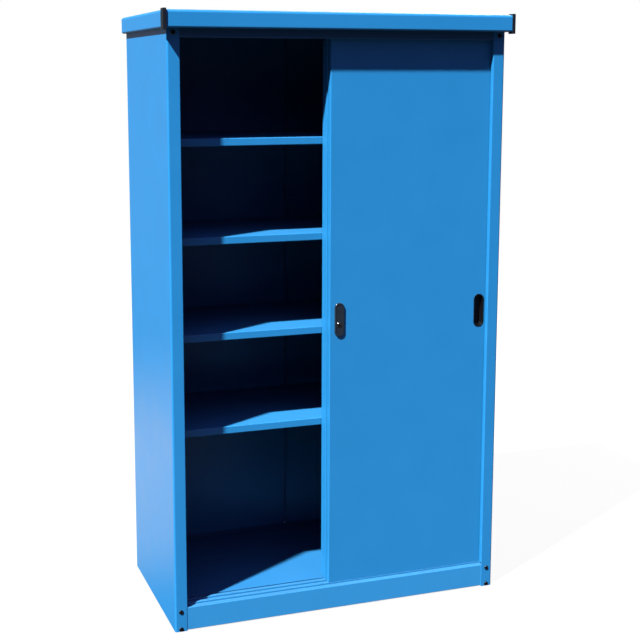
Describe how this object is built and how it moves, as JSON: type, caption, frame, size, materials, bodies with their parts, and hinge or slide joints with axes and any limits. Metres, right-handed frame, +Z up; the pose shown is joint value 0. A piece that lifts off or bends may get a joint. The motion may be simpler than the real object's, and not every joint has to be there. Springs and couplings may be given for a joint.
{
  "type": "sliding-door storage cabinet",
  "caption": "Free-standing sheet-steel storage cabinet with sliding doors on rollers, shelves inside, a keyed lock and flush pulls.",
  "frame": {"origin": "on the floor, under the middle of the cabinet's outline", "axes": "+X to the right as seen from the front, +Y from the front to the back, +Z up"},
  "size_m": [0.958, 0.5066, 1.605],
  "materials": {
    "blue_paint": "semi-gloss powder coat with light wear",
    "black_plastic": "fine moulded grain",
    "black_screw": "black oxide",
    "lock_grey": "satin die casting",
    "zinc_steel": "zinc plated",
    "nylon": "turned nylon",
    "dark_nylon": "moulded nylon",
    "rubber": "moulded rubber"
  },
  "bodies": {
    "cabinet": {"left_side_panel": "blue_paint", "right_side_panel": "blue_paint", "left_back_panel": "blue_paint", "right_back_panel": "blue_paint", "floor_panel": "blue_paint", "floor_brace": "blue_paint", "front_sill": "blue_paint", "base_back_rail": "blue_paint", "header": "blue_paint", "track_divider": "blue_paint", "top_back_rail": "blue_paint", "lid": "blue_paint", "left_lid_cap": "black_plastic", "right_lid_cap": "black_plastic", "left_front_upright": "blue_paint", "left_back_upright": "blue_paint", "right_front_upright": "blue_paint", "right_back_upright": "blue_paint", "shelf_1": "blue_paint", "shelf_2": "blue_paint", "shelf_3": "blue_paint", "shelf_4": "blue_paint", "shelf_clips": "zinc_steel", "front_screws": "black_screw", "back_screws": "black_screw", "lid_screws": "black_screw", "door_bumpers": "rubber"},
    "front_door": {"front_door_panel": "blue_paint", "front_door_brace": "blue_paint", "front_door_pull": "black_plastic", "front_door_roller_brackets": "zinc_steel", "front_door_roller_pins": "zinc_steel", "front_door_top_guides": "dark_nylon", "lock_plate": "lock_grey", "lock_retainer": "zinc_steel"},
    "rear_door": {"rear_door_panel": "blue_paint", "rear_door_brace": "blue_paint", "rear_door_pull": "black_plastic", "rear_door_edge_channel": "blue_paint", "rear_door_roller_brackets": "zinc_steel", "rear_door_roller_pins": "zinc_steel", "rear_door_top_guides": "dark_nylon", "lock_keeper": "zinc_steel"},
    "front_door_left_roller": {"front_door_left_roller": "nylon"},
    "front_door_right_roller": {"front_door_right_roller": "nylon"},
    "rear_door_left_roller": {"rear_door_left_roller": "nylon"},
    "rear_door_right_roller": {"rear_door_right_roller": "nylon"},
    "lock": {"lock_barrel": "lock_grey", "lock_cam": "zinc_steel"}
  },
  "joints": [
    {"name": "front_door_slide", "type": "slide", "parent": "cabinet", "child": "front_door", "axis": [1, 0, 0], "range_m": [-0.4138, 0]},
    {"name": "rear_door_slide", "type": "slide", "parent": "cabinet", "child": "rear_door", "axis": [1, 0, 0], "range_m": [-0.4124, 0.0014]},
    {"name": "front_door_left_roller_spin", "type": "hinge", "parent": "front_door", "child": "front_door_left_roller", "pos_m": [0.0264, -0.1916, 0.0743], "axis": [0, 1, 0], "range_deg": [-2390, 10]},
    {"name": "front_door_right_roller_spin", "type": "hinge", "parent": "front_door", "child": "front_door_right_roller", "pos_m": [0.3874, -0.1916, 0.0743], "axis": [0, 1, 0], "range_deg": [-2390, 10]},
    {"name": "rear_door_left_roller_spin", "type": "hinge", "parent": "rear_door", "child": "rear_door_left_roller", "pos_m": [0.025, -0.1691, 0.0743], "axis": [0, 1, 0], "range_deg": [-2375, 20]},
    {"name": "rear_door_right_roller_spin", "type": "hinge", "parent": "rear_door", "child": "rear_door_right_roller", "pos_m": [0.386, -0.1691, 0.0743], "axis": [0, 1, 0], "range_deg": [-2375, 20]},
    {"name": "lock_turn", "type": "hinge", "parent": "front_door", "child": "lock", "pos_m": [-0.00165, -0.20735, 0.7885], "axis": [0, 1, 0], "range_deg": [0, 90]}
  ],
  "couplings": [
    {"joint": "front_door_left_roller_spin", "follows": "front_door_slide", "rad_per_m": 100},
    {"joint": "front_door_right_roller_spin", "follows": "front_door_slide", "rad_per_m": 100},
    {"joint": "rear_door_left_roller_spin", "follows": "rear_door_slide", "rad_per_m": 100},
    {"joint": "rear_door_right_roller_spin", "follows": "rear_door_slide", "rad_per_m": 100}
  ]
}
